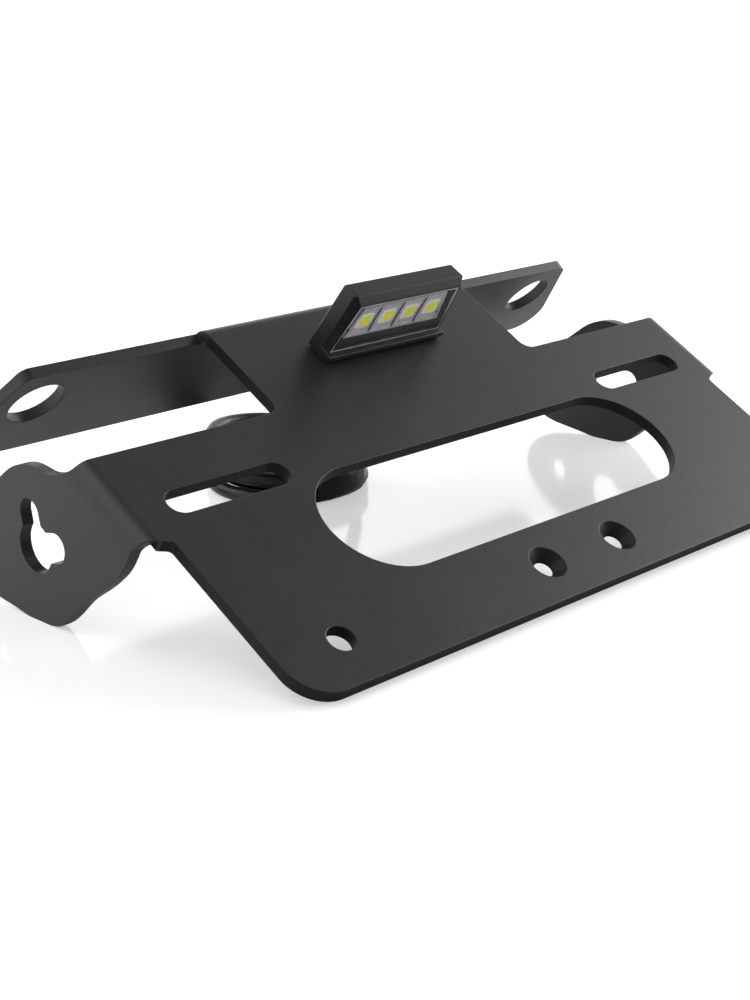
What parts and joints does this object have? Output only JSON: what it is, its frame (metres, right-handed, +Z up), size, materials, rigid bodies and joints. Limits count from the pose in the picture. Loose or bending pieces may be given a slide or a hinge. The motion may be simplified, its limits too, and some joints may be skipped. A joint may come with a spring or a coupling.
{
  "type": "motorcycle tail tidy",
  "caption": "Folded sheet number-plate bracket with slotted carrier, side ears, rear flange with wings, LED plate lamp on its neck and a coiled lead.",
  "frame": {"origin": "centre of the footprint of the bracket and lamp, on the surface that it rests on", "axes": "+X across the bracket, to the right of someone facing the plate; +Y from the plate's lower edge towards the rear flange; +Z up"},
  "size_m": [0.2162, 0.1542, 0.0682],
  "materials": {
    "black_coat": "matte black powder coat",
    "black_plastic": "fine matte moulded",
    "clear_plastic": "clear polished",
    "board": "dark green lacquer",
    "reflector": "silver",
    "led_yellow": "yellow phosphor in a white body",
    "zinc_steel": "zinc plated",
    "black_rubber": "matte",
    "cable_sheath": "smooth satin sheath",
    "brass": "tinned brass"
  },
  "bodies": {
    "root": {"bracket": "black_coat", "lamp_housing": "black_plastic", "lamp_gasket": "black_rubber", "lamp_lens": "clear_plastic", "lamp_board": "board", "lamp_reflector": "reflector", "lamp_leds": "led_yellow", "lamp_screws": "zinc_steel", "lamp_washers": "zinc_steel", "lead_grommet": "black_rubber", "lead_down": "cable_sheath", "lead_tail": "cable_sheath", "lead_coil": "cable_sheath", "lead_wrap": "black_rubber", "connector_shell": "black_plastic", "connector_seal": "black_rubber", "connector_pins": "brass"}
  },
  "joints": []
}
